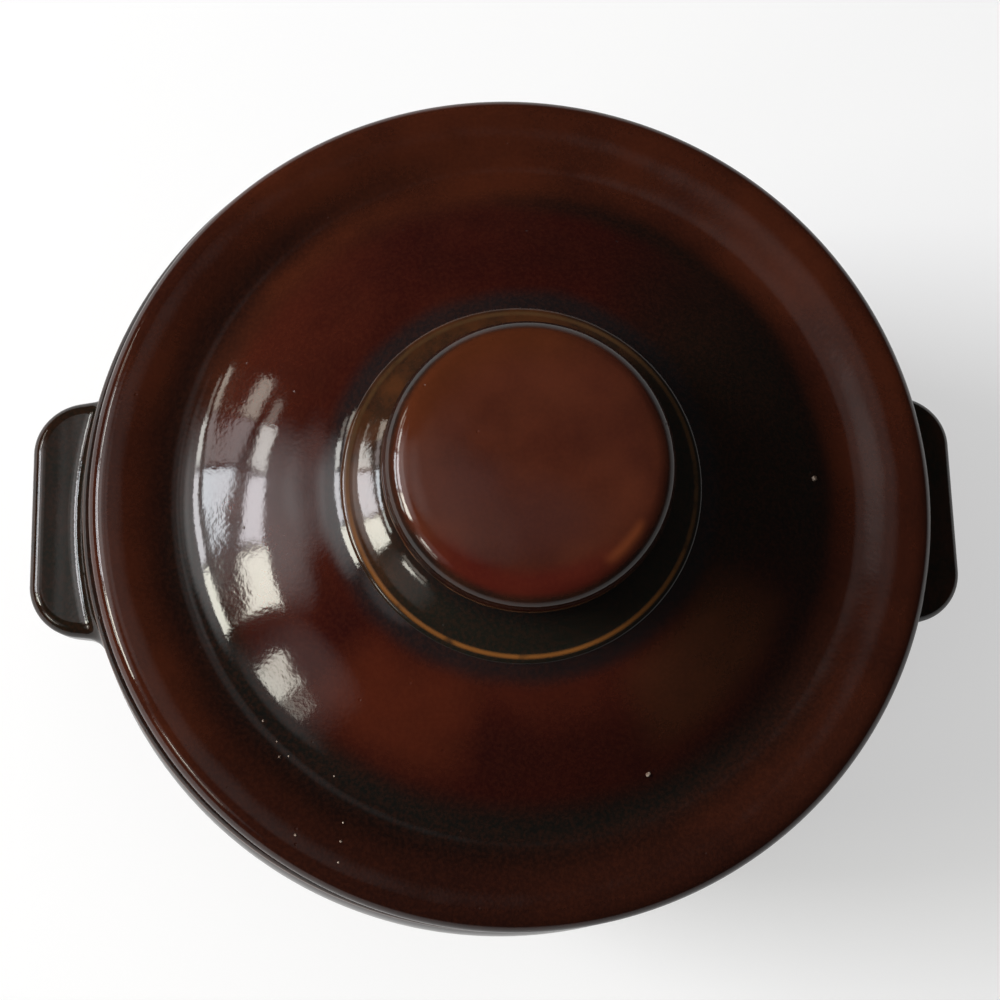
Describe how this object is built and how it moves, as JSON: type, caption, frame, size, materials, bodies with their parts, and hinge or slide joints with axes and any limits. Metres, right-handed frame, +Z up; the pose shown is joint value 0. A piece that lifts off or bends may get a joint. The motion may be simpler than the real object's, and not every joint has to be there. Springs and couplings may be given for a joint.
{
  "type": "stoneware bean pot",
  "caption": "Round glazed stoneware bean pot with a belly, two tab handles and a loose domed lid that lifts off by a wide flat-topped knob.",
  "frame": {"origin": "the middle of the foot ring, on the surface the pot stands on", "axes": "+Z up along the pot's turning axis, +X through the right tab handle, -Y towards the viewer of the picture's lower edge"},
  "size_m": [0.217, 0.1928, 0.169],
  "materials": {
    "pot_body": "glossy dark brown glaze",
    "handle_left": "glossy dark brown glaze",
    "handle_right": "glossy dark brown glaze",
    "lid_dome": "glossy red-brown glaze",
    "lid_knob": "glossy red-brown glaze"
  },
  "bodies": {
    "pot": {"pot_body": "pot_body", "handle_left": "handle_left", "handle_right": "handle_right"},
    "lid": {"lid_dome": "lid_dome", "lid_knob": "lid_knob"}
  },
  "joints": [
    {"name": "lid_lift", "type": "slide", "parent": "pot", "child": "lid", "axis": [0, 0, 1], "range_m": [0, 0.2]}
  ]
}
